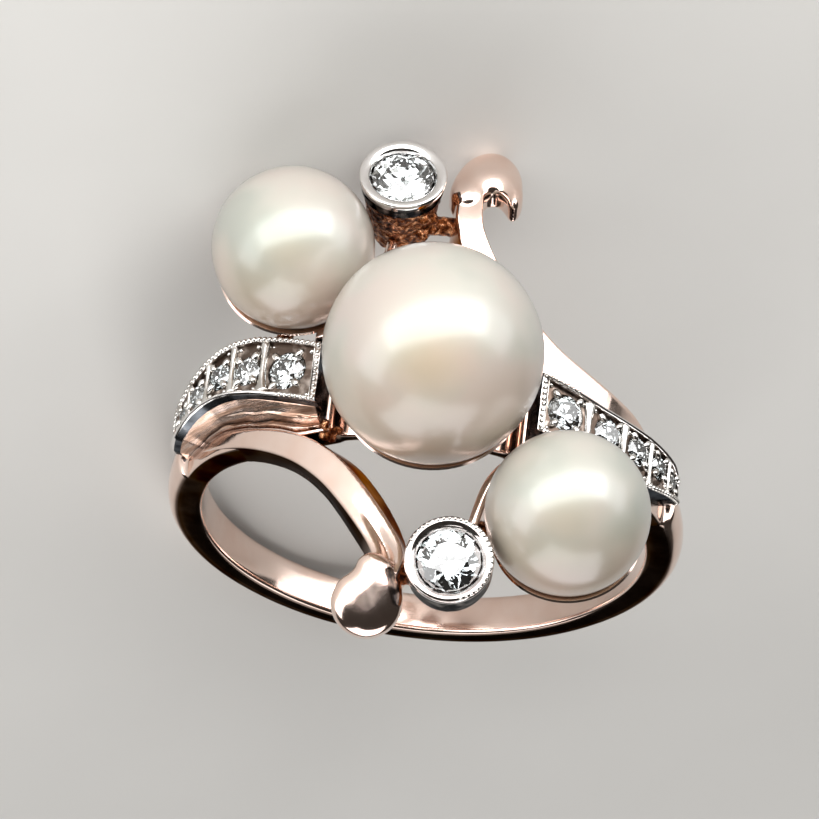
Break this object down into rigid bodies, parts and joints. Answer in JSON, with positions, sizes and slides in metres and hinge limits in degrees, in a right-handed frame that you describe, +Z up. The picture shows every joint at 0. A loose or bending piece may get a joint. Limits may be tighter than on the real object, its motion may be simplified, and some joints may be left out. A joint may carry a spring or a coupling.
{
  "type": "pearl and diamond ring",
  "caption": "Crossover finger ring with round pearls in a slanted row, collet-set diamonds beside curled shoulders and a diamond panel on each shoulder; worn on a finger.",
  "frame": {"origin": "centre of the footprint of the lying ring, on the surface that it rests on", "axes": "+Z up from the surface, -Y towards the pearls and diamonds of the head, +X to the right seen from the head's side"},
  "size_m": [0.0192, 0.0258, 0.019],
  "materials": {
    "rose_gold": "polished pale rose gold",
    "white_metal": "bright white gold or platinum, beaded edges, slightly dark in the recesses",
    "pearl": "lustrous white to cream nacre",
    "diamond": "clear, faceted and polished"
  },
  "bodies": {
    "root": {"mount": "rose_gold", "left_panel": "white_metal", "right_panel": "white_metal", "upper_collet": "white_metal", "lower_collet": "white_metal", "centre_pearl": "pearl", "upper_pearl": "pearl", "lower_pearl": "pearl", "upper_diamond": "diamond", "lower_diamond": "diamond", "left_stone_1": "diamond", "left_stone_2": "diamond", "left_stone_3": "diamond", "left_stone_4": "diamond", "left_stone_5": "diamond", "right_stone_1": "diamond", "right_stone_2": "diamond", "right_stone_3": "diamond", "right_stone_4": "diamond", "right_stone_5": "diamond"}
  },
  "joints": []
}
